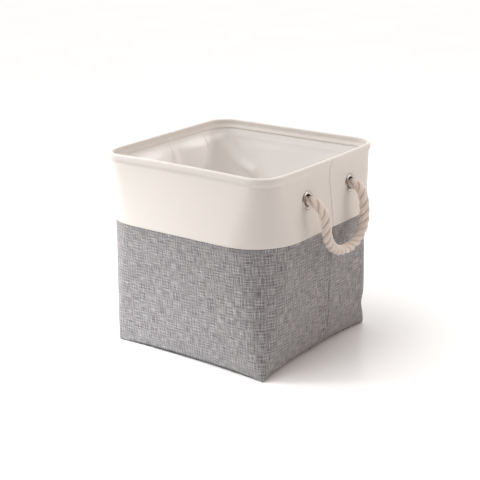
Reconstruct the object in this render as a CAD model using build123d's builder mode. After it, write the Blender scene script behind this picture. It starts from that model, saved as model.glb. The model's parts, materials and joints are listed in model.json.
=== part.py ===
"""Fabric storage bin: soft cube with a wired canvas band, a loose lining and two rope handles.

Millimetres. Origin at the middle of the underside, +Z up, front towards -Y, handles on the +X and -X sides.
"""
from build123d import *
import math
import os

# Overall outline of the cloth, outside faces
base_width = 306.0
base_depth = 306.0
base_corner = 8.0
ankle_height = 38.0            # where the corners have already softened above the floor
ankle_corner = 30.0
band_edge_height = 220.0       # lower edge of the canvas band
band_edge_width = 355.0
band_edge_depth = 341.0
band_edge_corner = 84.0
rim_height = 333.0
rim_width = 330.0
rim_depth = 325.0
rim_corner = 36.0
seam_shift = 7.0               # the side seams sit this far behind the middle

# Cloth, board and wire
band_cloth = 1.5
wall_cloth = 2.0
lining_cloth = 1.0
wire_diameter = 3.0
board_thickness = 3.0

# Laps, hems and fits
band_lap = 12.0                # wall cloth tucked up under the band
lap_clearance = 0.3
lining_gap = 1.0               # lining to wall cloth
hem_depth = 16.0               # band folded down inside
lining_tuck = 8.0              # lining held behind the hem
lining_hem_gap = 0.6
lining_turn_in = 16.0          # height over which the lining draws back to the hem
wire_clearance = 0.2
board_clearance = 14.0

# Eyelets
eyelet_height = 280.0
eyelet_spacing = 126.0
eyelet_bore = 19.5
eyelet_flange = 30.0
eyelet_dome = 2.0
eyelet_barrel_wall = 0.6
eyelet_hole_clearance = 0.1
eyelet_roll = 1.6              # radial width of the rolled-over back edge
eyelet_roll_thickness = 0.7
washer_diameter = 28.0
washer_thickness = 1.0

# Rope handles
rope_diameter = 16.0
rope_drop = 1.0                # the rope lies this low in its eyelet
knot_diameter = 32.0
knot_length = 20.0
knot_rounding = 8.0
knot_gap = 1.6                 # knot to the back of the eyelet
pocket_clearance = 1.5         # knot to the lining that bulges over it
turn_reach = 16.0              # the rope turns this far outside the band
turn_clearance = 1.2           # rope end to the round end of the handle, over its whole travel

# Route of one handle: outwards, along the wall and upwards from the middle of its turning line
handle_route = [
    (0.0, -63.0, 0.0),
    (8.5, -60.5, -8.5),
    (13.5, -57.5, -23.0),
    (15.0, -57.0, -41.0),
    (14.0, -51.0, -61.5),
    (11.5, -34.0, -79.5),
    (8.5, -10.5, -91.5),
    (7.0, 14.5, -96.5),
    (8.0, 37.5, -93.5),
    (10.5, 54.0, -81.5),
    (13.0, 61.0, -62.5),
    (14.0, 60.5, -41.5),
    (12.5, 60.5, -21.5),
    (8.0, 62.5, -8.0),
    (0.0, 63.0, 0.0),
]
arc_share = 0.45               # part of a run that each arc may use

lap_step = band_cloth + lap_clearance
barrel_radius = eyelet_bore / 2 + eyelet_barrel_wall
eyelet_hole = 2 * (barrel_radius + eyelet_hole_clearance)
rope_radius = rope_diameter / 2
wire_gap = wire_diameter + 2 * wire_clearance
wire_height = rim_height - band_cloth - wire_gap / 2
wire_inset = band_cloth + wire_gap / 2
hem_inset = band_cloth + wire_gap
lining_inset = lap_step + wall_cloth + lining_gap
lining_floor = wall_cloth + board_thickness
hem_bottom = rim_height - hem_depth
lining_top = hem_bottom + lining_tuck
lining_top_inset = band_cloth + lining_hem_gap
lining_bend = hem_bottom - lining_turn_in
band_lean = math.atan2((band_edge_width - rim_width) / 2, rim_height - band_edge_height)

# Height, width, depth and corner radius of the outermost skin
ankle_share = ankle_height / band_edge_height
foot_width = base_width + 2 * lap_step
foot_depth = base_depth + 2 * lap_step
skin = [
    (0.0, foot_width, foot_depth, base_corner + lap_step),
    (
        ankle_height,
        foot_width + (band_edge_width - foot_width) * ankle_share,
        foot_depth + (band_edge_depth - foot_depth) * ankle_share,
        ankle_corner,
    ),
    (band_edge_height, band_edge_width, band_edge_depth, band_edge_corner),
    (rim_height, rim_width, rim_depth, rim_corner),
]


def skin_size(height):
    """Width, depth and corner radius of the outermost skin at a height."""
    for low, high in zip(skin, skin[1:]):
        if height <= high[0]:
            break
    share = (height - low[0]) / (high[0] - low[0])
    return [a + (b - a) * share for a, b in zip(low[1:], high[1:])]


def outline(height, inset):
    """Level outline of the bin, drawn in by an inset."""
    width, depth, corner = skin_size(height)
    with BuildSketch(Plane.XY.offset(height)) as level:
        RectangleRounded(width - 2 * inset, depth - 2 * inset, corner - inset)
    return level.sketch


def stations(low, high):
    """Heights of the outlines that a skin from low to high is drawn through."""
    return [low] + [level[0] for level in skin if low < level[0] < high] + [high]


def add_shell(levels, thickness):
    """Add a cloth wall through (height, inset) levels, its thickness measured inwards."""
    loft([outline(height, inset) for height, inset in levels], ruled=True)
    loft([outline(height, inset + thickness) for height, inset in levels], ruled=True, mode=Mode.SUBTRACT)


def add_band_leg(bottom, inset):
    """Add one leg of the band, from its lower edge up to the middle of the wire."""
    add_shell([(height, inset) for height in stations(bottom, wire_height)], band_cloth)


def arc_radii(points):
    """Arc radius at each inner point: a share of the shorter run over the tangent of half the turn."""
    radii = []
    for before, here, after in zip(points, points[1:], points[2:]):
        arrive = here - before
        leave = after - here
        turn = math.radians(arrive.get_angle(leave))
        radii.append(arc_share * min(arrive.length, leave.length) / math.tan(turn / 2))
    return radii


def keep_half(side):
    """Cut the piece at the side seams and keep its front or back half."""
    split(bisect_by=Plane.XZ.offset(-seam_shift), keep=Keep.TOP if side == "front" else Keep.BOTTOM)


def finish(piece, name):
    piece.part.label = name
    export_step(piece.part, f"parts/{name}.step")


os.makedirs("parts", exist_ok=True)

# Where each eyelet stands: origin on the band's outer face, Z outwards, X along the wall
side_sign = {"right": 1, "left": -1}
end_sign = {"front": -1, "back": 1}
eyelet_wall = skin_size(eyelet_height)[0] / 2
eyelet_planes = {
    (side, end): Plane(
        origin=(sign * eyelet_wall, seam_shift + step * eyelet_spacing / 2, eyelet_height),
        x_dir=(0, sign, 0),
        z_dir=(sign * math.cos(band_lean), 0, math.sin(band_lean)),
    )
    for side, sign in side_sign.items()
    for end, step in end_sign.items()
}
eyelet_back = band_cloth + washer_thickness + eyelet_roll_thickness
knot_face = eyelet_wall - eyelet_back - knot_gap
rope_height = eyelet_height - rope_drop
turn_line = eyelet_wall + turn_reach
pocket_share = knot_face / eyelet_wall
pocket_radius = math.hypot(knot_length, knot_diameter / 2 - knot_rounding / 2) + pocket_clearance

# Base: outer cloth, chipboard and lining, one on the other
with BuildPart() as outer_base:
    loft([outline(height, lap_step + wall_cloth) for height in (0.0, wall_cloth)], ruled=True)
finish(outer_base, "outer_base")

with BuildPart() as base_board:
    with BuildSketch(Plane.XY.offset(wall_cloth)):
        Rectangle(
            base_width - 2 * (wall_cloth + board_clearance),
            base_depth - 2 * (wall_cloth + board_clearance),
        )
    extrude(amount=board_thickness)
    fillet(base_board.edges().filter_by(Axis.Z), radius=base_corner)
finish(base_board, "base_board")

lining_base_inset = lining_inset + lining_cloth
with BuildPart() as lining_base:
    loft(
        [outline(height, lining_base_inset) for height in (lining_floor, lining_floor + lining_cloth)],
        ruled=True,
    )
finish(lining_base, "lining_base")

# Outer walls: two panels that meet at the side seams
for half in ("front", "back"):
    with BuildPart() as outer_panel:
        add_shell(
            [(height, lap_step) for height in stations(0.0, band_edge_height + band_lap)],
            wall_cloth,
        )
        keep_half(half)
    finish(outer_panel, f"outer_{half}_panel")

# Lining walls: hung from the hem, standing on the base, bulged over the rope knots
lining_levels = [(height, lining_inset) for height in stations(lining_floor, lining_bend)]
lining_levels += [(hem_bottom, lining_top_inset), (lining_top, lining_top_inset)]
pockets = Locations(
    *[(place.origin.X * pocket_share, place.origin.Y, rope_height) for place in eyelet_planes.values()]
)
with BuildPart() as bulges:
    with pockets:
        Sphere(pocket_radius + lining_cloth)
    loft([outline(height, inset) for height, inset in lining_levels], ruled=True, mode=Mode.INTERSECT)

for half in ("front", "back"):
    with BuildPart() as lining_panel:
        add_shell(lining_levels, lining_cloth)
        add(bulges.part)
        with pockets:
            Sphere(pocket_radius, mode=Mode.SUBTRACT)
        keep_half(half)
    finish(lining_panel, f"lining_{half}")

# Wire hoop in the rim
hoop = outline(wire_height, wire_inset).face().outer_wire()
hoop_start = Plane(origin=hoop @ 0, z_dir=hoop % 0)
with BuildPart() as rim_wire:
    with BuildSketch(hoop_start):
        Circle(wire_diameter / 2)
    sweep(path=hoop)
finish(rim_wire, "rim_wire")

# Canvas band: folded over the wire and down inside as the hem
for half in ("front", "back"):
    with BuildPart() as band:
        with BuildSketch(hoop_start):
            Circle(wire_gap / 2 + band_cloth)
        sweep(path=hoop)
        with BuildSketch(hoop_start):
            Circle(wire_gap / 2)
        sweep(path=hoop, mode=Mode.SUBTRACT)
        split(bisect_by=Plane.XY.offset(wire_height), keep=Keep.TOP)
        for bottom, inset in ((band_edge_height, 0.0), (hem_bottom, hem_inset)):
            add_band_leg(bottom, inset)
        with Locations(*[place for (side, end), place in eyelet_planes.items() if end == half]):
            Cylinder(eyelet_hole / 2, 4 * band_cloth, mode=Mode.SUBTRACT)
        keep_half(half)
    finish(band, f"band_{half}")

# Eyelets and their washers, clamped through the canvas
for (side, end), place in eyelet_planes.items():
    section = Plane(origin=place.origin, x_dir=place.x_dir, z_dir=-place.y_dir)
    with BuildPart() as eyelet:
        with BuildSketch(section):
            with BuildLine():
                Polyline(
                    (eyelet_bore / 2, eyelet_dome / 2),
                    (eyelet_bore / 2, -eyelet_back),
                    (barrel_radius + eyelet_roll, -eyelet_back),
                    (barrel_radius + eyelet_roll, eyelet_roll_thickness - eyelet_back),
                    (barrel_radius, eyelet_roll_thickness - eyelet_back),
                    (barrel_radius, 0),
                    (eyelet_flange / 2, 0),
                )
                ThreePointArc(
                    (eyelet_flange / 2, 0),
                    ((eyelet_bore + eyelet_flange) / 4, eyelet_dome),
                    (eyelet_bore / 2, eyelet_dome / 2),
                )
            make_face()
        revolve(axis=Axis(place.origin, place.z_dir))
    finish(eyelet, f"{side}_{end}_eyelet")

    with BuildPart() as washer:
        with BuildSketch(place.offset(-band_cloth)):
            Circle(washer_diameter / 2)
            Circle(eyelet_hole / 2, mode=Mode.SUBTRACT)
        extrude(amount=-washer_thickness)
    finish(washer, f"{side}_{end}_washer")

# Rope ends: the part of each rope that stays in its eyelet, and its knot behind the canvas
for (side, end), place in eyelet_planes.items():
    sign = side_sign[side]
    across = place.origin.Y
    knot_plane = Plane(origin=(sign * knot_face, across, rope_height), z_dir=(-sign, 0, 0))
    with BuildPart() as rope_end:
        with BuildSketch(knot_plane):
            Circle(knot_diameter / 2)
        extrude(amount=knot_length)
        fillet(rope_end.edges(), radius=knot_rounding)
        with BuildSketch(knot_plane):
            Circle(rope_radius)
        extrude(amount=-(turn_line - rope_radius - turn_clearance - knot_face))
    finish(rope_end, f"{side}_{end}_rope_end")

# Rope handles: each turns about the line through its two ends
for side, sign in side_sign.items():
    points = [
        Vector(sign * (turn_line + out), seam_shift + sign * along, rope_height + up)
        for out, along, up in handle_route
    ]
    radii = arc_radii(points)
    print(side, "handle arc radii:", [round(radius, 1) for radius in radii])
    with BuildPart() as handle:
        with BuildLine() as route:
            FilletPolyline(*points, radius=radii)
        with BuildSketch(Plane(origin=route.line @ 0, z_dir=route.line % 0)):
            Circle(rope_radius)
        sweep(path=route.line)
        tube_volume = handle.part.volume
        tube_length = route.wire().length
        with Locations(points[0], points[-1]):
            Sphere(rope_radius)
    print("  length", round(tube_length, 1), "volume", round(tube_volume, 1))
    print("  section times length", round(math.pi * rope_radius**2 * tube_length, 1))
    finish(handle, f"{side}_rope_handle")
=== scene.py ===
import json
import math

import bmesh
import bpy
import numpy as np
from mathutils import Matrix, Vector, noise


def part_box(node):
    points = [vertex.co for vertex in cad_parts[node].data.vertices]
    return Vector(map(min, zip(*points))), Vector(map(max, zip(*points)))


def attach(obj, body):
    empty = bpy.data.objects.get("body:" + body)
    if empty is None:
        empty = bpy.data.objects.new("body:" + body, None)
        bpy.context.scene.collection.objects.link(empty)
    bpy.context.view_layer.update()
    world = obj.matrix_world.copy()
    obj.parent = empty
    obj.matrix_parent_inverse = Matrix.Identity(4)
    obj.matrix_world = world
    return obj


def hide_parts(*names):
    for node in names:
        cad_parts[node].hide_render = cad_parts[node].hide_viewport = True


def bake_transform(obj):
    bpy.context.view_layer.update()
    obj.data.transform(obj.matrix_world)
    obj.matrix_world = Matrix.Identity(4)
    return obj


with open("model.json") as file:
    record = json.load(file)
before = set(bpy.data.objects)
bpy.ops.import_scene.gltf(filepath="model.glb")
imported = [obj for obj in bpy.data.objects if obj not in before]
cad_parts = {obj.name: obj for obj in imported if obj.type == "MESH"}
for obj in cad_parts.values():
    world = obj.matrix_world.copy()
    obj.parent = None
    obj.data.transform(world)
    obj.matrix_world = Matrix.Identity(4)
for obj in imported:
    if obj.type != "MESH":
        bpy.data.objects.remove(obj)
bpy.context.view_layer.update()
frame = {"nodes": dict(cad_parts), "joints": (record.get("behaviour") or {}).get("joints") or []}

mm = 0.001

# Sizes read from the frame
wall_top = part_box("outer_front_panel")[1].z
base_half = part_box("outer_base")[1].x
band_low, band_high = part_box("band_front")
rim_top = band_high.z
joints = {joint["name"]: joint for joint in frame["joints"]}
turn_line = Vector(joints["right_handle_lift"]["pos_m"])
seam_y = turn_line.y

# Cloth, eyelets and rope. The grey wall lies lap_step inside the band's outer face, and a point further than
# side_reach from the middle is on a side
wall_cloth = 2.0 * mm
band_cloth = 1.5 * mm
lap_step = 1.8 * mm
side_reach = 0.12
eyelet_height = 0.280
eyelet_reach = 0.063
eyelet_places = (seam_y - eyelet_reach, seam_y + eyelet_reach)
rope_diameter = 16 * mm
yarns_in_strand = 9

# Outline of the outermost skin: height, half width, half depth, radius of the front left and back right
# corners, radius of the other two, softness of the corners
skin = np.array([
    (0.0, 0.1550, 0.1550, 0.0035, 0.0035, 0.001),
    (0.038, 0.1587, 0.1575, 0.014, 0.028, 0.003),
    (0.100, 0.1651, 0.1619, 0.036, 0.052, 0.005),
    (0.160, 0.1713, 0.1662, 0.060, 0.070, 0.008),
    (band_low.z, band_high.x, -band_low.y, 0.078, 0.084, 0.009),
    (0.290, 0.1698, 0.1655, 0.050, 0.054, 0.006),
    (rim_top, 0.165, 0.1625, 0.036, 0.038, 0.004),
])

# How far each side seam wanders towards the back, by height
seam_drift = np.array([
    (0.0, -0.003),
    (0.010, -0.001),
    (0.025, 0.006),
    (0.038, 0.010),
    (0.060, 0.010),
    (0.108, 0.004),
    (0.172, -0.002),
    (0.215, 0.0),
])
straight_seam = np.array([(0.0, 0.0), (1.0, 0.0)])
band_seam = np.array([(0.0, 0.003), (1.0, 0.003)])


# ---------------------------------------------------------------- helpers

def run_along(points):
    """How far along a line each of its points is."""
    return np.concatenate([[0], np.cumsum(np.linalg.norm(np.diff(points, axis=0), axis=1))])


def deselect_all():
    for thing in bpy.context.selected_objects:
        thing.select_set(False)


def new_mesh(name, vertices, faces, uvs=None, smooth=True):
    """A mesh object from plain lists. uvs holds one pair for each vertex of each face, in face order."""
    mesh = bpy.data.meshes.new(name)
    mesh.from_pydata([tuple(v) for v in vertices], [], [tuple(f) for f in faces])
    if uvs is not None:
        layer = mesh.uv_layers.new(name="cloth")
        layer.data.foreach_set("uv", np.asarray(uvs, float).ravel())
    mesh.polygons.foreach_set("use_smooth", [smooth] * len(mesh.polygons))
    mesh.update()
    piece = bpy.data.objects.new(name, mesh)
    bpy.context.scene.collection.objects.link(piece)
    return piece


def grid_piece(name, points, flat, open_at=None):
    """A cloth grid: points[row, column] in space and flat[row, column] on the cutting table.

    open_at marks the grid's squares that are cut away."""
    rows, columns = points.shape[:2]
    faces, uvs = [], []
    for r in range(rows - 1):
        for c in range(columns - 1):
            if open_at is not None and open_at[r, c]:
                continue
            near = r * columns + c
            far = near + columns
            faces.append((near, near + 1, far + 1, far))
            uvs += [flat[r, c], flat[r, c + 1], flat[r + 1, c + 1], flat[r + 1, c]]
    piece = new_mesh(name, points.reshape(-1, 3), faces, uvs)
    work = bmesh.new()
    work.from_mesh(piece.data)
    bmesh.ops.delete(work, geom=[v for v in work.verts if not v.link_faces], context="VERTS")
    work.to_mesh(piece.data)
    work.free()
    return piece


def thicken(piece, thickness):
    """Give a sheet its thickness, inwards from its outer face."""
    solid = piece.modifiers.new("thickness", "SOLIDIFY")
    solid.thickness = thickness
    solid.offset = -1.0
    solid.use_even_offset = False


def paint(piece, finish):
    piece.data.materials.clear()
    piece.data.materials.append(finish)


# ---------------------------------------------------------------- camera

aim = Vector((0.0, 0.0, 0.15325))
distance = 1.941
azimuth = math.radians(36.8)
elevation = math.radians(18.7)
tilt = math.radians(-0.7)
back = Vector((
    math.sin(azimuth) * math.cos(elevation),
    -math.cos(azimuth) * math.cos(elevation),
    math.sin(elevation),
))
level = Vector((math.cos(azimuth), math.sin(azimuth), 0.0))
upright = back.cross(level)
side = level * math.cos(tilt) + upright * math.sin(tilt)
top = upright * math.cos(tilt) - level * math.sin(tilt)
camera_data = bpy.data.cameras.new("camera")
camera_data.lens = 84.9
camera_data.sensor_width = 36.0
frame_width = 480
camera_data.shift_x = -2.0 / frame_width
camera_data.shift_y = 7.9 / frame_width
camera = bpy.data.objects.new("camera", camera_data)
turned = Matrix((side, top, back)).transposed().to_4x4()
camera.matrix_world = Matrix.Translation(aim + back * distance) @ turned
bpy.context.scene.collection.objects.link(camera)
bpy.context.scene.camera = camera


# ---------------------------------------------------------------- the bin's skin

def skin_at(height):
    """Half width, half depth, the two corner radii and the corner softness at a height."""
    return [np.interp(height, skin[:, 0], skin[:, i]) for i in range(1, 6)]


def outline(height, inset=0.0):
    """Closed outline at a height, drawn in by inset: dense points from the left seam round by the front."""
    half_x, half_y, tight, round_corner, soft = skin_at(height)
    half_x, half_y = half_x - inset, half_y - inset
    tightest = 1.5 * mm + 2 * (inset - lap_step)
    points = []
    for cx, cy, start in ((-1, -1, 180), (1, -1, 270), (1, 1, 0), (-1, 1, 90)):
        corner = tight if cx == cy else round_corner
        corner = max(corner - inset, tightest)
        for turn in np.linspace(0, 90, 46):
            a = math.radians(start + turn)
            x = cx * (half_x - corner) + corner * math.cos(a)
            y = cy * (half_y - corner) + corner * math.sin(a)
            points.append((x, y))
    points = np.array(points + points[:1])
    run = run_along(points)
    count = 1440
    even = np.linspace(0, run[-1], count, endpoint=False)
    points = np.stack([np.interp(even, run, points[:, i]) for i in (0, 1)], axis=1)
    step = run[-1] / count
    reach = int(3 * soft / step) + 1
    weights = np.exp(-0.5 * (np.arange(-reach, reach + 1) * step / soft) ** 2)
    weights /= weights.sum()
    wrapped = np.concatenate([points[-reach:], points, points[:reach]])
    points = np.stack([np.convolve(wrapped[:, i], weights, mode="valid") for i in (0, 1)], axis=1)
    left = np.where(points[:, 0] < 0)[0]
    first = left[np.argmin(abs(points[left, 1] - seam_y))]
    return np.roll(points, -first, axis=0)


def half_outline(height, half, count, beyond=0.0, drift=None, inset=0.0):
    """count points of the front or back half at a height, evenly spaced from seam to seam.

    Gives the points, their outward normals and how far round each is. beyond is how far it reaches past the
    seams, and drift is how far back the seams sit, by height."""
    points = outline(height, inset)
    closed = np.concatenate([points, points[:1]])
    run = run_along(closed)
    right = np.where(points[:, 0] > 0)[0]
    seam = run[right[np.argmin(abs(points[right, 1] - seam_y))]]
    drift = straight_seam if drift is None else drift
    aside = float(np.interp(height, drift[:, 0], drift[:, 1]))
    total = run[-1]
    if half == "front":
        places = np.linspace(-beyond - aside, seam + beyond + aside, count)
    else:
        places = np.linspace(seam - beyond + aside, total + beyond - aside, count)

    def at(where):
        return np.stack([np.interp(where % total, run, closed[:, i]) for i in (0, 1)], axis=1)

    tangent = at(places + 1.5 * mm) - at(places - 1.5 * mm)
    tangent /= np.linalg.norm(tangent, axis=1)[:, None]
    return at(places), np.stack([tangent[:, 1], -tangent[:, 0]], axis=1), places


def smooth(low, high, value):
    """0 below low, 1 above high, easing between."""
    t = np.clip((value - low) / (high - low), 0, 1)
    return t * t * (3 - 2 * t)


def foot_inset(height, place, normal):
    """How far the wall draws in near the floor, where the cloth turns under between the corners."""
    nearest = np.minimum(abs(place[:, 0]), abs(place[:, 1])) / base_half
    middle = np.clip(1 - nearest ** 2, 0, 1)
    sideways = normal[:, 0] ** 2
    slack_corner = smooth(0.06, 0.12, place[:, 0]) * smooth(0.06, 0.12, place[:, 1])
    radius = (8 + 4 * sideways) * mm * (0.3 + 0.7 * middle)
    pull = (2 + 3 * sideways) * mm * middle
    under = np.clip(radius - height, 0, None)
    rounded = radius - np.sqrt(np.clip(radius ** 2 - under ** 2, 0, None))
    pinch = 3.6 * mm * slack_corner * math.exp(-((height - 0.040) / 0.017) ** 2)
    return rounded + pull * np.clip(1 - height / 0.06, 0, 1) ** 2 + pinch


def eyelet_distance(place, height):
    """Distance along the side walls to the nearest eyelet."""
    nearest = np.full(len(place), 1.0)
    for y in eyelet_places:
        gap = np.hypot(place[:, 1] - y, height - eyelet_height)
        nearest = np.where(abs(place[:, 0]) > side_reach, np.minimum(nearest, gap), nearest)
    return nearest


def rim_bow(place, height):
    """The wired rim is a little out of true: pulled in along the front, pushed out on the right."""
    front = np.clip(1 - (place[:, 0] / 0.165) ** 2, 0, 1) * (place[:, 1] < -side_reach)
    right = np.clip(1 - (place[:, 1] / 0.160) ** 2, 0, 1) * (place[:, 0] > side_reach)
    pulled_in = -8.0 * mm * front * smooth(0.225, 0.335, height)
    pushed_out = 5.0 * mm * right * smooth(0.296, 0.335, height)
    return pulled_in + pushed_out


def waves(place, height):
    """Slow, shallow waves that every layer of cloth shares, calm at the eyelets, the rim and the floor."""
    size = 0.11
    swell = np.array([noise.noise(Vector((x / size, y / size, height / size + 3.7))) for x, y in place])
    calm = smooth(17 * mm, 45 * mm, eyelet_distance(place, height))
    calm *= 1 - 0.7 * smooth(0.29, 0.325, height)
    calm *= smooth(-2 * mm, 25 * mm, height)
    return 1.3 * mm * swell * calm + rim_bow(place, height)


def cloth_rows(half, levels, count, beyond=0.0, drift=None, shape=None):
    """Grid of points through (height, inset) levels of one half, and where each lies on the cut cloth.

    shape(place, run, edge, height) gives how far a row stands out besides, where edge is the distance to the
    nearer side edge."""
    points, flat = [], []
    rise = 0.0
    before = None
    for height, inset in levels:
        place, normal, run = half_outline(height, half, count, beyond, drift, inset)
        out = waves(place, height) - foot_inset(height, place, normal)
        if shape is not None:
            out = out + shape(place, run, np.minimum(run - run[0], run[-1] - run), height)
        row = np.column_stack([place + normal * out[:, None], np.full(count, height)])
        if before is not None:
            rise += float(np.linalg.norm(row - before, axis=1).mean())
        before = row
        points.append(row)
        flat.append(np.column_stack([run, np.full(count, rise)]))
    return np.array(points), np.array(flat)


# ---------------------------------------------------------------- materials

def give(node, inputs):
    """Feed a node: a socket is linked to its input, and a plain value is set on the input itself."""
    for key, value in inputs.items():
        if isinstance(value, bpy.types.NodeSocket):
            node.id_data.links.new(value, node.inputs[key])
        else:
            node.inputs[key].default_value = value


def material(name):
    """A node material, its shader and a function that adds a node to it."""
    made = bpy.data.materials.new(name)
    made.use_nodes = True
    tree = made.node_tree

    def add(kind, inputs=None, **settings):
        node = tree.nodes.new(kind)
        for key, value in settings.items():
            setattr(node, key, value)
        give(node, inputs or {})
        return node

    return made, tree.nodes["Principled BSDF"], add


def maths(add, operation, first, second=0.5, third=None):
    values = {0: first, 1: second}
    if third is not None:
        values[2] = third
    return add("ShaderNodeMath", values, operation=operation).outputs[0]


def blend_colour(add, factor, first, second, how="MIX"):
    node = add("ShaderNodeMix", {0: factor, 6: first, 7: second}, data_type="RGBA", blend_type=how)
    return node.outputs[2]


def ramp(add, factor, *stops):
    """Colours by a factor, from (place, colour) stops."""
    node = add("ShaderNodeValToRGB", {0: factor})
    while len(node.color_ramp.elements) < len(stops):
        node.color_ramp.elements.new(0.5)
    for element, (place, colour) in zip(node.color_ramp.elements, stops):
        element.position = place
        element.color = (*colour, 1)
    return node.outputs[0]


def grey(value):
    return (value, value, value)


def cloth_map(add):
    """Where a point lies on the cut cloth or along a strand, in metres on cloth."""
    return add("ShaderNodeUVMap", uv_map="cloth").outputs[0]


def place_map(add):
    return add("ShaderNodeTexCoord").outputs["Object"]


def speckle(add, vector, scale, detail):
    """A soft random tone."""
    return add("ShaderNodeTexNoise", {"Vector": vector, "Scale": scale, "Detail": detail}).outputs[0]


def streaks(add, cloth, across, along, detail):
    """A soft random tone, stretched into streaks by its scales across and along the cloth."""
    stretched = add("ShaderNodeVectorMath", {0: cloth, 1: (across, along, 1)}, operation="MULTIPLY")
    return speckle(add, stretched.outputs[0], 1.0, detail)


def bumps(add, height, strength, depth):
    return add("ShaderNodeBump", {"Height": height, "Strength": strength, "Distance": depth}).outputs[0]


def threads(add, cloth, pitch):
    """Plain weave from a cloth map: how high it stands, and how far the warp is on top."""
    parts = add("ShaderNodeSeparateXYZ", {0: cloth})
    turn = math.pi / pitch
    across = maths(add, "SINE", maths(add, "MULTIPLY", parts.outputs[0], turn))
    along = maths(add, "SINE", maths(add, "MULTIPLY", parts.outputs[1], turn))
    over = maths(add, "MULTIPLY_ADD", maths(add, "MULTIPLY", across, along), 1.6, 0.5)
    over = add("ShaderNodeClamp", {0: over}).outputs[0]
    warp = maths(add, "MULTIPLY", maths(add, "ABSOLUTE", across), over)
    weft = maths(add, "MULTIPLY", maths(add, "ABSOLUTE", along), maths(add, "SUBTRACT", 1.0, over))
    return maths(add, "ADD", warp, weft), over


def linen_weave():
    """Grey linen-look weave: light and dark slubby yarns both ways, with painted shade darkening the gaps
    between them.
    """
    made, shader, add = material("grey linen weave")
    cloth = cloth_map(add)
    height, over = threads(add, cloth, 1.8 * mm)
    slub_up = streaks(add, cloth, 1500, 55, 0.0)
    slub_across = streaks(add, cloth, 55, 1500, 0.0)
    parts = add("ShaderNodeSeparateXYZ", {0: cloth})
    rib = 2 * math.pi / (5.4 * mm)
    rib_depth = 0.06
    rib_up = maths(add, "SINE", maths(add, "MULTIPLY", parts.outputs[0], rib))
    rib_across = maths(add, "SINE", maths(add, "MULTIPLY", parts.outputs[1], rib))
    dark, middle, light = (0.105, 0.097, 0.099), (0.362, 0.348, 0.354), (0.80, 0.785, 0.795)
    stops = ((0.31, dark), (0.5, middle), (0.69, light))
    up = ramp(add, maths(add, "MULTIPLY_ADD", rib_up, rib_depth, slub_up), *stops)
    across = ramp(add, maths(add, "MULTIPLY_ADD", rib_across, rib_depth, slub_across), *stops)
    on_top = maths(add, "MULTIPLY_ADD", over, 0.5, 0.25)
    colour = blend_colour(add, on_top, across, up)
    # Painted shade: the colour is darkened in the gaps between the threads, where the threads stand lowest.
    thread_gap_shade = ramp(add, height, (0.0, grey(0.45)), (0.75, grey(1.0)))
    colour = blend_colour(add, 1.0, colour, thread_gap_shade, "MULTIPLY")
    fibre = speckle(add, cloth, 2600.0, 1.0)
    fibres = ramp(add, fibre, (0.3, grey(0.36)), (0.7, grey(0.64)))
    height = maths(add, "MULTIPLY_ADD", slub_up, 0.6, height)
    height = maths(add, "MULTIPLY_ADD", slub_across, 0.6, height)
    give(shader, {
        "Base Color": blend_colour(add, 0.5, colour, fibres, "OVERLAY"),
        "Normal": bumps(add, height, 1.0, 0.7 * mm),
        "Roughness": maths(add, "MULTIPLY_ADD", fibre, 0.15, 0.82),
        "Specular IOR Level": 0.18,
        "Sheen Weight": 0.25,
        "Sheen Roughness": 0.5,
    })
    return made


def plain_cloth(name, colour, dark_yarn_and_thread_shade, pitch, depth, sheen):
    """Fine plain-woven cloth of one colour, darkened between its threads by painted shade and among its yarns
    by their own tone, and patchy over a hand's width.
    """
    made, shader, add = material(name)
    cloth = cloth_map(add)
    height, _ = threads(add, cloth, pitch)
    warp_yarn = streaks(add, cloth, 900, 60, 2.0)
    weft_yarn = streaks(add, cloth, 60, 900, 2.0)
    mixed = maths(add, "ADD", maths(add, "MULTIPLY", warp_yarn, 0.5), maths(add, "MULTIPLY", weft_yarn, 0.5))
    tone = maths(add, "MULTIPLY_ADD", maths(add, "SUBTRACT", mixed, 0.5), 0.8, height)
    # Partly painted shade: the cloth runs towards its darker colour between its threads, as well as where its
    # yarns are darker.
    tint = ramp(add, tone, (0.0, dark_yarn_and_thread_shade), (0.75, colour))
    faded = tuple(c * 0.955 for c in colour)
    patches = ramp(add, speckle(add, cloth, 14.0, 3.0), (0.40, grey(0)), (0.65, grey(0.35)))
    smoothness = maths(add, "MULTIPLY_ADD", height, -0.06, 0.78)
    give(shader, {
        "Base Color": blend_colour(add, patches, tint, (*faded, 1)),
        "Roughness": maths(add, "MULTIPLY_ADD", mixed, 0.2, smoothness),
        "Normal": bumps(add, tone, 0.5, depth),
        "Specular IOR Level": 0.2,
        "Sheen Weight": sheen,
        "Sheen Roughness": 0.5,
    })
    return made


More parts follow.
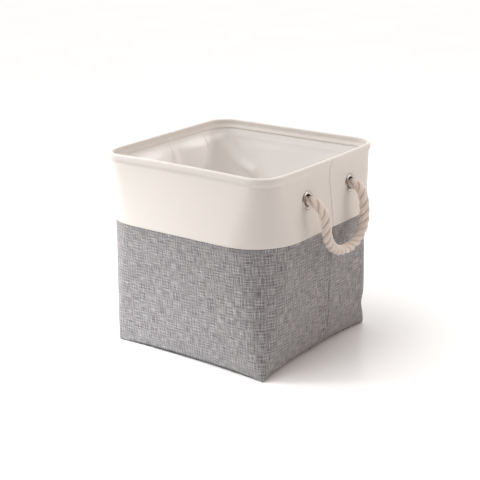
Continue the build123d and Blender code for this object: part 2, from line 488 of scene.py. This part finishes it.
def rope_cotton():
    """Twisted cotton: yarns run along each strand's map, and the grooves between strands are darkened with
    painted shade.
    """
    made, shader, add = material("twisted cotton")
    strand = cloth_map(add)
    parts = add("ShaderNodeSeparateXYZ", {0: strand})
    slant = maths(add, "MULTIPLY_ADD", parts.outputs[1], 130.0, parts.outputs[0])
    yarn = maths(add, "SINE", maths(add, "MULTIPLY", slant, 2 * math.pi * yarns_in_strand))
    fluff = streaks(add, strand, 14, 1500, 3.0)
    groove = add("ShaderNodeAttribute", attribute_name="groove").outputs["Fac"]
    pale, shallow_groove_shade, deep_groove_shade = (0.83, 0.735, 0.665), (0.76, 0.62, 0.54), (0.36, 0.20, 0.13)
    # Painted shade: the cotton darkens the deeper a point lies in the grooves between strands.
    colour = ramp(add, groove, (0.0, pale), (0.42, shallow_groove_shade), (0.8, deep_groove_shade))
    streak = maths(add, "MULTIPLY_ADD", yarn, 0.12, maths(add, "MULTIPLY", fluff, 0.9))
    streak_colour = ramp(add, streak, (0.25, grey(0.38)), (0.60, grey(0.57)))
    height = maths(add, "MULTIPLY_ADD", yarn, 0.5, fluff)
    give(shader, {
        "Base Color": blend_colour(add, 0.55, colour, streak_colour, "OVERLAY"),
        "Normal": bumps(add, height, 0.7, 0.35 * mm),
        "Roughness": 0.95,
        "Specular IOR Level": 0.12,
        "Sheen Weight": 0.35,
        "Sheen Roughness": 0.4,
    })
    return made


def metal(name, colour, roughness, scale):
    """Plated or drawn metal with faint scuffs."""
    made, shader, add = material(name)
    scuff = speckle(add, place_map(add), scale, 4.0)
    darker = tuple(c * 0.8 for c in colour)
    give(shader, {
        "Roughness": maths(add, "MULTIPLY_ADD", scuff, 0.25, roughness),
        "Base Color": ramp(add, scuff, (0.35, darker), (0.6, colour)),
        "Normal": bumps(add, scuff, 0.15, 0.05 * mm),
        "Metallic": 1.0,
    })
    return made


def pressed_board():
    """Chips and dust pressed into a board."""
    made, shader, add = material("pressed chipboard")
    place = place_map(add)
    chips = add("ShaderNodeTexVoronoi", {"Vector": place, "Scale": 260.0}).outputs[0]
    dust = speckle(add, place, 900.0, 3.0)
    tone = maths(add, "MULTIPLY_ADD", dust, 0.5, maths(add, "MULTIPLY", chips, 0.5))
    give(shader, {
        "Base Color": ramp(add, tone, (0.2, (0.30, 0.23, 0.16)), (0.7, (0.52, 0.44, 0.34))),
        "Normal": bumps(add, tone, 0.3, 0.2 * mm),
        "Roughness": 0.9,
    })
    return made


def sewing_thread():
    """Spun thread, a little fuzzy."""
    made, shader, add = material("sewing thread")
    fuzz = speckle(add, place_map(add), 2400.0, 2.0)
    give(shader, {
        "Base Color": ramp(add, fuzz, (0.3, (0.66, 0.61, 0.55)), (0.7, (0.86, 0.82, 0.77))),
        "Normal": bumps(add, fuzz, 0.4, 0.08 * mm),
        "Roughness": 0.7,
    })
    return made


def studio_floor():
    """Pale satin floor."""
    made, shader, add = material("studio floor")
    haze = speckle(add, place_map(add), 3.0, 2.0)
    give(shader, {
        "Base Color": ramp(add, haze, (0.3, grey(0.90)), (0.7, grey(0.92))),
        "Roughness": 0.22,
        "Specular IOR Level": 0.35,
    })
    return made


grey_weave = linen_weave()
# The canvas's darker colour is both its darker yarns' own tone and painted shade between its threads.
cream = (0.78, 0.742, 0.70)
dark_yarn_and_shade_cream = (0.69, 0.64, 0.595)
cream_canvas = plain_cloth("cream canvas", cream, dark_yarn_and_shade_cream, pitch=0.55 * mm, depth=0.12 * mm, sheen=0.2)
# The lining's darker colour is both its darker yarns' own tone and painted shade between its threads.
white = (0.93, 0.91, 0.89)
dark_yarn_and_shade_white = (0.87, 0.84, 0.81)
lining_cloth = plain_cloth("white lining", white, dark_yarn_and_shade_white, pitch=0.4 * mm, depth=0.06 * mm, sheen=0.15)
cotton = rope_cotton()
nickel = metal("nickel plate", (0.50, 0.475, 0.45), roughness=0.14, scale=500.0)
steel = metal("drawn steel", (0.55, 0.55, 0.55), roughness=0.3, scale=900.0)
board = pressed_board()
thread = sewing_thread()


# ---------------------------------------------------------------- rope handles

handle_route = [
    (-0.027, -0.063, 0.0000),
    (-0.014, -0.063, 0.0002),
    (-0.005, -0.063, -0.0005),
    (0.0035, -0.062, -0.0045),
    (0.0135, -0.0575, -0.0230),
    (0.0150, -0.0570, -0.0410),
    (0.0140, -0.0510, -0.0615),
    (0.0115, -0.0340, -0.0795),
    (0.0085, -0.0105, -0.0915),
    (0.0070, 0.0145, -0.0965),
    (0.0080, 0.0375, -0.0935),
    (0.0105, 0.0540, -0.0815),
    (0.0130, 0.0610, -0.0625),
    (0.0140, 0.0605, -0.0415),
    (0.0125, 0.0605, -0.0215),
    (0.0040, 0.0630, -0.0045),
    (-0.005, 0.063, -0.0005),
    (-0.014, 0.063, 0.0002),
    (-0.027, 0.063, 0.0000),
]
rope_lay = 43 * mm
strand_share = 0.55
yarn_lay = 9 * mm
strand_sides = 36
route_step = 0.0011


def route_line(name, points):
    """Evenly spaced points along the smooth curve that a route steers."""
    curve = bpy.data.curves.new(name, "CURVE")
    curve.dimensions = "3D"
    curve.resolution_u = 24
    spline = curve.splines.new("NURBS")
    spline.points.add(len(points) - 1)
    for point, place in zip(spline.points, points):
        point.co = (*place, 1)
    spline.order_u = 3
    spline.use_endpoint_u = True
    holder = bpy.data.objects.new(name, curve)
    line = bpy.data.meshes.new_from_object(holder)
    places = np.array([v.co for v in line.vertices])
    bpy.data.objects.remove(holder)
    bpy.data.curves.remove(curve)
    bpy.data.meshes.remove(line)
    run = run_along(places)
    even = np.linspace(0, run[-1], int(run[-1] / route_step))
    return np.column_stack([np.interp(even, run, places[:, i]) for i in range(3)]), run[-1]


def frames_along(points):
    """Two directions across a line at each of its points, turning as little as they can."""
    ahead = np.gradient(points, axis=0)
    ahead /= np.linalg.norm(ahead, axis=1)[:, None]
    across = np.cross(ahead[0], (0, 0, 1.0))
    across /= np.linalg.norm(across)
    sides = []
    for direction in ahead:
        across = across - direction * (across @ direction)
        across /= np.linalg.norm(across)
        sides.append(across)
    sides = np.array(sides)
    return sides, np.cross(ahead, sides)


def strand_tube(centre, radius, run):
    """Rings of points round a strand's middle line. Its yarns are soft ridges that wind along the run."""
    first, second = frames_along(centre)
    around = np.linspace(0, 2 * math.pi, strand_sides, endpoint=False)
    rings = []
    for n, place in enumerate(centre):
        ridges = 1 + 0.035 * np.cos(yarns_in_strand * around + run[n] * 2 * math.pi / yarn_lay)
        reach = radius * ridges
        one_way = first[n] * (np.cos(around) * reach)[:, None]
        other_way = second[n] * (np.sin(around) * reach)[:, None]
        rings.append(place + one_way + other_way)
    return np.array(rings)


def strand_mesh(name, strands, centreline):
    """One rope mesh from strands of rings, closed at their ends, with each vertex's depth in a groove, which
    the rope's material turns into painted shade.
    """
    vertices, faces, uvs, groove = [], [], [], []
    for rings in strands:
        start = len(vertices)
        count, around = rings.shape[:2]
        run = run_along(rings.mean(axis=1))
        # How deep each vertex lies in the grooves between strands, for the painted shade in the rope's
        # material.
        gap = np.linalg.norm(rings - centreline[:, None, :], axis=2)
        outer = rope_diameter / 2
        groove += list(np.clip((outer * 0.97 - gap) / (outer * 0.36), 0, 1).ravel())
        vertices += list(rings.reshape(-1, 3))
        for r in range(count - 1):
            for c in range(around):
                near = start + r * around
                far = near + around
                n = (c + 1) % around
                faces.append((near + c, near + n, far + n, far + c))
                u, v = c / around, (c + 1) / around
                uvs += [(u, run[r]), (v, run[r]), (v, run[r + 1]), (u, run[r + 1])]
        for ring, turn in ((0, -1), (count - 1, 1)):
            loop = [start + ring * around + c for c in range(around)][::turn]
            faces.append(tuple(loop))
            uvs += [(0.5, run[ring])] * around
    piece = new_mesh(name, vertices, faces, uvs)
    depth = piece.data.attributes.new("groove", "FLOAT", "POINT")
    depth.data.foreach_set("value", groove)
    return piece


def rope_strands(line):
    """Three strands laid round a line."""
    radius = rope_diameter / 2 * strand_share
    reach = rope_diameter / 2 + 0.4 * mm - radius
    first, second = frames_along(line)
    run = run_along(line)
    strands = []
    for k in range(3):
        angle = 2 * math.pi * (k / 3 + run / rope_lay)
        centre = line + first * (np.cos(angle) * reach)[:, None] + second * (np.sin(angle) * reach)[:, None]
        strands.append(strand_tube(centre, radius, run))
    return strands


def make_handle(side_name, sign):
    """A rope handle that leaves one eyelet, hangs and goes back in at the other."""
    name = f"{side_name}_rope"
    steer = []
    for out, along, up in handle_route:
        steer.append((sign * (turn_line.x + out), seam_y + sign * along, turn_line.z + up))
    line, length = route_line(name, steer)
    piece = strand_mesh(name, rope_strands(line), line)
    paint(piece, cotton)
    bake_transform(piece)
    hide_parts(f"{side_name}_rope_handle")


make_handle("right", 1)
make_handle("left", -1)


# ---------------------------------------------------------------- grey walls and base

def fold_down(edge, reach, drop):
    """A rounded drop towards a panel's edge."""
    near = np.clip(1 - edge / reach, 0, 1)
    return -drop * (1 - np.sqrt(1 - near ** 2 * 0.98))


def front_lap(place, run, edge, height):
    """The front panel's folded side edge lies proud, over the back panel."""
    below_band = 1 - smooth(0.188, 0.212, height)
    proud = 2.0 * mm * (1 - smooth(4 * mm, 15 * mm, edge)) * below_band
    return proud + fold_down(edge, 2.6 * mm, 2.6 * mm)


def back_lap(place, run, edge, height):
    """The back panel dips beside the lap, where the seam pulls it in."""
    dip = -3.0 * mm * (1 - smooth(10.5 * mm, 13.5 * mm, edge))
    return dip + 1.0 * mm * np.exp(-((edge - 16 * mm) / (3 * mm)) ** 2)


def foot_lift(points):
    """The bin stands on its corners: between them the foot of the wall hangs clear of the floor."""
    nearest = np.minimum(abs(points[..., 0]), abs(points[..., 1])) / base_half
    middle = np.clip(1 - nearest ** 6, 0, 1)
    return 3.2 * mm * middle * (1 - smooth(0, 24 * mm, points[..., 2]))


def make_wall(half, shape):
    """One grey panel, from the floor to its top edge under the band. Gives its lowest row."""
    heights = [*np.linspace(0.2 * mm, 20 * mm, 22), *np.linspace(22.5 * mm, wall_top, 84)]
    levels = [(height, lap_step) for height in heights]
    points, flat = cloth_rows(half, levels, count=300, beyond=5 * mm, drift=seam_drift, shape=shape)
    points[..., 2] += foot_lift(points)
    piece = grid_piece(f"grey_wall_{half}", points, flat)
    thicken(piece, wall_cloth - 0.3 * mm)
    paint(piece, grey_weave)
    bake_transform(piece)
    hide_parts(f"outer_{half}_panel")
    return points[0]


front_foot = make_wall("front", front_lap)
back_foot = make_wall("back", back_lap)


def floor_sheet(name, ring, rows, facing, lift=None):
    """A sheet that fills a closed ring, drawn in row by row to its middle.

    lift(x, y) gives its height above the ring, and facing is 1 for up and -1 for down."""
    middle = ring.mean(axis=0)
    count = len(ring)
    vertices = []
    sizes = np.linspace(1, 0, rows, endpoint=False)
    for row in [*(middle + (ring - middle) * size for size in sizes), middle[None, :].copy()]:
        row[:, 2] = middle[2]
        if lift is not None:
            row[:, 2] += lift(row[:, 0], row[:, 1])
        vertices += list(row)
    faces = []
    for r in range(rows - 1):
        for c in range(count):
            n = (c + 1) % count
            faces.append((r * count + c, r * count + n, (r + 1) * count + n, (r + 1) * count + c))
    last = (rows - 1) * count
    for c in range(count):
        faces.append((last + c, last + (c + 1) % count, rows * count))
    if facing < 0:
        faces = [face[::-1] for face in faces]
    uvs = [vertices[v][:2] for face in faces for v in face]
    return new_mesh(name, vertices, faces, uvs)


def closed_ring(front, back, spare):
    """The lowest rows of both halves joined into one ring, without the spare columns at their ends."""
    return np.concatenate([front[spare:-spare], back[spare:-spare]])


foot_ring = closed_ring(front_foot, back_foot, spare=3)
foot_ring[:, 2] = 0.5 * mm
base_sheet = floor_sheet("grey_base", foot_ring, rows=40, facing=-1)
thicken(base_sheet, 1.4 * mm)
paint(base_sheet, grey_weave)
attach(base_sheet, "base")
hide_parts("outer_base")


# ---------------------------------------------------------------- canvas band

eyelet_hole = 11.5 * mm
wire_radius = 1.5 * mm
wire_sides = 12
wire_gap = 3.4 * mm
hem_inset = band_cloth + wire_gap + band_cloth
hem_bottom = rim_top - 16 * mm
roll = hem_inset / 2
roll_height = rim_top - roll


def casing(height):
    """The casing round the wire stands proud of the band below it, with a groove along its stitching."""
    groove = 0.5 * mm * math.exp(-((height - 0.3185) / 0.0028) ** 2)
    return 2.6 * mm * smooth(0.3175, 0.3255, height) - groove


def band_shape(place, run, edge, height):
    """The eyelets press the band in, the wire fills its casing, and its stitching puckers it."""
    pressed = -0.35 * mm * np.exp(-(eyelet_distance(place, height) / (17 * mm)) ** 4)
    puckers = np.array([noise.noise(Vector((r / 0.011, height / 0.02, 5.5))) for r in run])
    near_rim = math.exp(-((height - 0.317) / 0.007) ** 2)
    near_edge = 0.7 * math.exp(-((height - band_low.z) / 0.007) ** 2)
    puckered = 0.35 * mm * puckers * (near_rim + near_edge)
    return fold_down(edge, 2.5 * mm, 0.6 * mm) + pressed + casing(height) + puckered


def band_levels():
    """Outer leg from its folded lower edge, over the wire and down inside to the hem's own edge."""
    folded = ((1.6 * mm, band_cloth), (0.5 * mm, 1.1 * mm), (0.1 * mm, 0.6 * mm), (0.5 * mm, 0.1 * mm))
    levels = [(band_low.z + above, inset) for above, inset in folded]
    levels += [(height, 0.0) for height in np.linspace(band_low.z + 1.6 * mm, roll_height, 56)]
    for turn in np.linspace(0, math.pi, 15)[1:-1]:
        levels.append((roll_height + roll * math.sin(turn), roll * (1 - math.cos(turn))))
    levels += [(height, hem_inset) for height in np.linspace(roll_height, hem_bottom + 0.6 * mm, 12)]
    levels.append((hem_bottom, hem_inset - 0.4 * mm))
    levels.append((hem_bottom + 0.4 * mm, hem_inset - 0.9 * mm))
    return levels


def make_band(half):
    """Half of the band, with its eyelets' holes cut."""
    points, flat = cloth_rows(half, band_levels(), count=330, drift=band_seam, shape=band_shape)
    middles = (points[:-1, :-1] + points[1:, 1:]) / 2
    cut = np.zeros(middles.shape[:2], bool)
    for y in eyelet_places:
        across = np.hypot(middles[..., 1] - y, middles[..., 2] - eyelet_height)
        cut |= (across < eyelet_hole) & (abs(middles[..., 0]) > side_reach)
    piece = grid_piece(f"canvas_band_{half}", points, flat, cut)
    thicken(piece, 1.0 * mm)
    paint(piece, cream_canvas)
    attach(piece, "rim")
    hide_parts(f"band_{half}")


make_band("front")
make_band("back")


def make_wire():
    """The rim's spring wire, closed on itself inside the casing."""
    rows = []
    for half in ("front", "back"):
        points, _ = cloth_rows(half, [(roll_height, roll)], count=240, shape=band_shape)
        rows.append(points[0][:-1])
    path = np.concatenate(rows)
    ahead = np.roll(path, -1, axis=0) - np.roll(path, 1, axis=0)
    ahead /= np.linalg.norm(ahead, axis=1)[:, None]
    up = np.array((0, 0, 1.0))
    outwards = np.cross(ahead, up)[:, None, :]
    around = np.linspace(0, 2 * math.pi, wire_sides, endpoint=False)[None, :, None]
    rings = path[:, None, :] + wire_radius * (np.cos(around) * outwards + np.sin(around) * up)
    count = len(path)
    faces = []
    for r in range(count):
        near = r * wire_sides
        far = (r + 1) % count * wire_sides
        for c in range(wire_sides):
            n = (c + 1) % wire_sides
            faces.append((near + n, near + c, far + c, far + n))
    piece = new_mesh("wire_hoop", rings.reshape(-1, 3), faces)
    paint(piece, steel)
    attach(piece, "rim")
    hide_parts("rim_wire")


make_wire()


# ---------------------------------------------------------------- lining

lining_inset = 5.2 * mm
lining_foot = 5.6 * mm


def fold_line(x, height, line, width):
    """1 along a fold drawn through (x, height) points, fading across it."""
    nearest = np.full(len(x), 1.0)
    for (x1, z1), (x2, z2) in zip(line, line[1:]):
        dx, dz = x2 - x1, z2 - z1
        along = np.clip(((x - x1) * dx + (height - z1) * dz) / (dx ** 2 + dz ** 2), 0, 1)
        gap = np.hypot(x - x1 - along * dx, height - z1 - along * dz)
        nearest = np.minimum(nearest, gap)
    return np.exp(-(nearest / width) ** 2)


# Folds in the back left of the lining, and how far its seams wander towards the back, by height
hanging_fold = [(-0.156, 0.299), (-0.150, 0.284), (-0.138, 0.268), (-0.120, 0.252), (-0.095, 0.240)]
lower_fold = [(-0.125, 0.215), (-0.095, 0.205), (-0.050, 0.200)]
lining_seam = np.array([(0.20, 0.013), (0.26, 0.010), (0.30, 0.002), (0.33, 0.0)])


def lining_shape(place, run, edge, height):
    """The lining hangs loose: it bulges over the knots, billows a little and is pleated at its seams."""
    gap = eyelet_distance(place, height)
    at_sides = abs(place[:, 0]) > side_reach
    below_hem = 1 - smooth(0.297, 0.3155, height)
    between_knots = 1 - smooth(0.07, 0.115, abs(place[:, 1] - seam_y))
    tent = 9 * mm * math.exp(-((height - 0.272) / 0.065) ** 2) * between_knots
    tent = np.where(at_sides, tent, 0)
    bulge = tent + (21 * mm - tent) * np.exp(-(gap / (37 * mm)) ** 2.2)
    size = 0.075
    billow = np.array([noise.noise(Vector((x / size, y / size, height / 0.13 + 9.1))) for x, y in place])
    loose = smooth(10 * mm, 60 * mm, height) * (1 - smooth(0.285, 0.312, height))
    slack = (2.0 * mm + 2.6 * mm * billow) * loose
    back_left = (place[:, 1] > 0.10) & (place[:, 0] < 0.02)
    folds = 6.5 * mm * fold_line(place[:, 0], height, hanging_fold, 11 * mm)
    folds = folds + 4 * mm * fold_line(place[:, 0], height, lower_fold, 12 * mm)
    pleat = 2.6 * mm * (place[:, 1] > seam_y) * (1 - smooth(2 * mm, 15 * mm, edge)) * loose
    low = 1 - smooth(0.22, 0.26, height)
    clear_of_seam = 3.6 * mm * (1 - smooth(14 * mm, 34 * mm, edge)) * low
    tucked = 0.9 * mm * smooth(0.292, 0.305, height) * (1 - smooth(0.311, 0.3165, height))
    clear_of_floor = 4.0 * mm * (1 - smooth(7 * mm, 30 * mm, height))
    inward = bulge * below_hem + np.where(back_left, folds, 0) * below_hem
    inward = inward + tucked + clear_of_floor
    inward = inward + np.clip(slack, 0, None) + pleat + clear_of_seam
    return fold_down(edge, 2.5 * mm, 1.8 * mm) - inward


def lining_levels():
    """Up the wall, then outwards into the gap behind the hem."""
    bend = 0.301
    levels = [(height, lining_inset) for height in np.linspace(lining_foot, bend, 104)]
    for height in np.linspace(bend + 2.5 * mm, hem_bottom + 7 * mm, 14):
        outwards = 2.9 * mm * smooth(hem_bottom + mm, hem_bottom + 8 * mm, height)
        levels.append((height, lining_inset + 0.5 * mm - outwards))
    return levels


def make_lining(half):
    """Half of the lining's wall. Gives its lowest row."""
    points, flat = cloth_rows(half, lining_levels(), count=260, drift=lining_seam, shape=lining_shape)
    piece = grid_piece(f"lining_wall_{half}", points, flat)
    piece.data.flip_normals()
    thicken(piece, 0.7 * mm)
    paint(piece, lining_cloth)
    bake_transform(piece)
    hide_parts(f"lining_{half}")
    return points[0]


lining_ring = closed_ring(make_lining("front"), make_lining("back"), spare=1)


def lining_lift(x, y):
    """The lining's floor lies on the board with a few soft waves."""
    size = 0.06
    swell = np.array([noise.noise(Vector((a / size, b / size, 1.3))) for a, b in zip(x, y)])
    rim = np.clip(1 - np.maximum(abs(x), abs(y)) / 0.140, 0, 0.25) * 4
    return 1.6 * mm * np.clip(swell + 0.3, 0, None) * rim


lining_floor_sheet = floor_sheet("lining_floor", lining_ring, rows=60, facing=1, lift=lining_lift)
thicken(lining_floor_sheet, 0.5 * mm)
paint(lining_floor_sheet, lining_cloth)
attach(lining_floor_sheet, "base")
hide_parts("lining_base")


# ---------------------------------------------------------------- knots behind the canvas

lean = math.radians(6.4)
knot_strand = 4.0 * mm
knot_reach = 0.1560


def make_knot(name, sign, y):
    """The rope's strands knotted on themselves behind an eyelet."""
    outwards = Vector((sign * math.cos(lean), 0, math.sin(lean)))
    upwards = Vector((-sign * math.sin(lean), 0, math.cos(lean)))
    middle = Vector((sign * knot_reach, y, turn_line.z - 1.1 * mm))
    turn = np.linspace(0, 2 * math.pi * 1.01, 200)
    reach = 8.4 * mm + 3.6 * mm * np.cos(3 * turn)
    path = np.array(middle) + np.outer(reach * np.cos(2 * turn), np.array((0, 1.0, 0)))
    path += np.outer(reach * np.sin(2 * turn), np.array(upwards))
    path += np.outer(5.4 * mm * np.sin(3 * turn), np.array(outwards))
    piece = strand_mesh(name, [strand_tube(path, knot_strand, run_along(path))], path)
    paint(piece, cotton)
    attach(piece, "rim")
    return piece


for side_name, sign in (("right", 1), ("left", -1)):
    for end_name, y in zip(("front", "back"), eyelet_places):
        knot = make_knot(f"{side_name}_{end_name}_knot", sign, y)
        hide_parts(f"{side_name}_{end_name}_rope_end")


# ---------------------------------------------------------------- stitching

deselect_all()
bpy.ops.mesh.primitive_uv_sphere_add(segments=6, ring_count=4, radius=1.0)
pattern = bpy.context.object
stitch_vertices = np.array([v.co for v in pattern.data.vertices])
stitch_faces = [list(face.vertices) for face in pattern.data.polygons]
bpy.data.objects.remove(pattern)
stitch_pitch = 3.6 * mm
stitch_length = 3.0 * mm
# Half width and half height of a stitch, in mm
stitch_width = 0.32
stitch_height = 0.26


def stitch_line(name, height, inset, facing=1):
    """A line of thread round the band at a height and inset, facing out (1) or in (-1)."""
    vertices, faces = [], []
    for half in ("front", "back"):
        _, _, run = half_outline(height, half, 2)
        count = int((run[1] - run[0]) / stitch_pitch)
        rows, _ = cloth_rows(half, [(height, inset), (height + mm, inset)], count, shape=band_shape)
        row = rows[0]
        ahead = np.gradient(row, axis=0)
        ahead /= np.linalg.norm(ahead, axis=1)[:, None]
        upward = rows[1] - rows[0]
        upward /= np.linalg.norm(upward, axis=1)[:, None]
        out = np.cross(ahead, upward) * facing
        for place, along, up, away in zip(row, ahead, upward, out):
            if eyelet_distance(place[None, :2], place[2])[0] < 16 * mm:
                continue
            start = len(vertices)
            for x, y, z in stitch_vertices:
                sink = 0.12 * mm * (1 - 2.2 * x * x)
                in_line = place + along * x * stitch_length / 2
                vertices.append(in_line + up * y * stitch_width * mm + away * (z * stitch_height * mm + sink))
            faces += [[start + v for v in face] for face in stitch_faces]
    piece = new_mesh(name, vertices, faces)
    work = bmesh.new()
    work.from_mesh(piece.data)
    bmesh.ops.recalc_face_normals(work, faces=work.faces)
    work.to_mesh(piece.data)
    work.free()
    paint(piece, thread)
    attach(piece, "rim")


stitch_line("rim_stitches", rim_top - 10.5 * mm, 0.0)
stitch_line("band_edge_stitches", band_low.z + 3.2 * mm, 0.0)
stitch_line("hem_stitches", rim_top - 13.4 * mm, hem_inset, facing=-1)


# ---------------------------------------------------------------- hardware that keeps its own shape

for name in frame["nodes"]:
    kind = name.split("_")[-1]
    if kind in ("eyelet", "washer"):
        paint(bpy.data.objects[name], nickel)
paint(bpy.data.objects["base_board"], board)


# ---------------------------------------------------------------- floor and light

deselect_all()
bpy.ops.mesh.primitive_plane_add(size=40.0, location=(0, 0, 0))
ground = bpy.context.object
ground.name = "floor"
ground.data.materials.append(studio_floor())


def soft_light(name, place, size, power, colour, target=aim, spread=180):
    """A square lamp that faces its target, its light spread over an angle in degrees."""
    data = bpy.data.lights.new(name, "AREA")
    data.size = size
    data.spread = math.radians(spread)
    data.energy = power
    data.color = colour
    lamp = bpy.data.objects.new(name, data)
    lamp.location = place
    lamp.rotation_euler = (target - Vector(place)).to_track_quat("-Z", "Y").to_euler()
    bpy.context.scene.collection.objects.link(lamp)


corner_foot = Vector((-0.12, -0.16, 0.0))
soft_light("left", (-0.78, -0.62, 0.75), size=0.4, power=0.70, colour=(0.97, 0.985, 1.0),
           target=corner_foot, spread=34)
soft_light("overhead", (-0.3, 0.4, 1.9), size=1.4, power=7.0, colour=(1.0, 1.0, 1.0))
soft_light("right", (1.5, 1.1, 1.2), size=1.0, power=9.0, colour=(1.0, 0.87, 0.80))

sun = bpy.data.lights.new("window", "SUN")
sun.energy = 1.6
sun.angle = math.radians(50)
window = bpy.data.objects.new("window", sun)
window.rotation_euler = Vector((0.33, 0.42, -0.85)).to_track_quat("-Z", "Y").to_euler()
bpy.context.scene.collection.objects.link(window)

# Bright studio walls all round, dimmer on the side that the front corner faces
world = bpy.data.worlds.new("studio")
world.use_nodes = True
room = world.node_tree
background = room.nodes["Background"]
outwards = room.nodes.new("ShaderNodeTexCoord").outputs["Generated"]
facing = room.nodes.new("ShaderNodeVectorMath")
facing.operation = "DOT_PRODUCT"
give(facing, {0: outwards, 1: (0.62, -0.75, 0.2)})
dimming = room.nodes.new("ShaderNodeMapRange")
give(dimming, {0: facing.outputs["Value"], 1: -0.4, 2: 0.9, 3: 1.0, 4: 0.22})
warmth = room.nodes.new("ShaderNodeValToRGB")
give(warmth, {0: dimming.outputs[0]})
warm, neutral = warmth.color_ramp.elements
warm.position = 0.30
warm.color = (1.0, 0.86, 0.80, 1.0)
neutral.position = 0.90
neutral.color = (1.0, 1.0, 1.0, 1.0)
give(background, {0: warmth.outputs[0], 1: dimming.outputs[0]})
bpy.context.scene.world = world
bpy.context.scene.view_settings.view_transform = "Standard"
